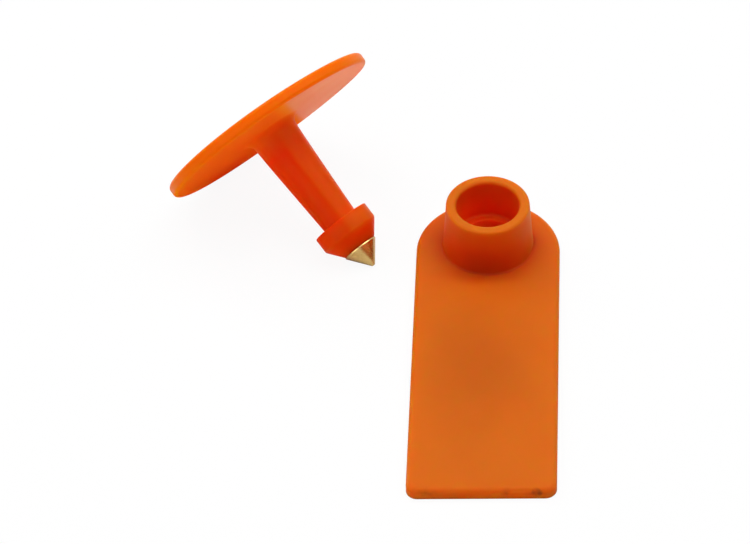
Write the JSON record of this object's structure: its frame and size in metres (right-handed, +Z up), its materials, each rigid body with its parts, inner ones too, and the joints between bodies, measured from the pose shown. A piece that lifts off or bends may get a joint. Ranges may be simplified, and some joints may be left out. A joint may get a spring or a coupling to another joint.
{
  "type": "livestock ear tag",
  "caption": "Soft orange livestock ear tag, laid out unfitted: a flat panel with a hollow collar, and a button stud with a barbed stem and a brass piercing tip.",
  "frame": {"origin": "on the axis of the collar and its stem hole, in the panel's back face, which lies on the ground", "axes": "+Z up, out of the collar's mouth; -Y along the panel to its free end; the stud lies on the -X side"},
  "size_m": [0.049, 0.0642, 0.0253],
  "materials": {
    "tag_plastic": "satin moulded, slightly translucent",
    "tip_brass": "turned, lightly tarnished"
  },
  "bodies": {
    "root": {"tag_panel": "tag_plastic", "button_stud": "tag_plastic", "piercing_tip": "tip_brass"}
  },
  "joints": []
}
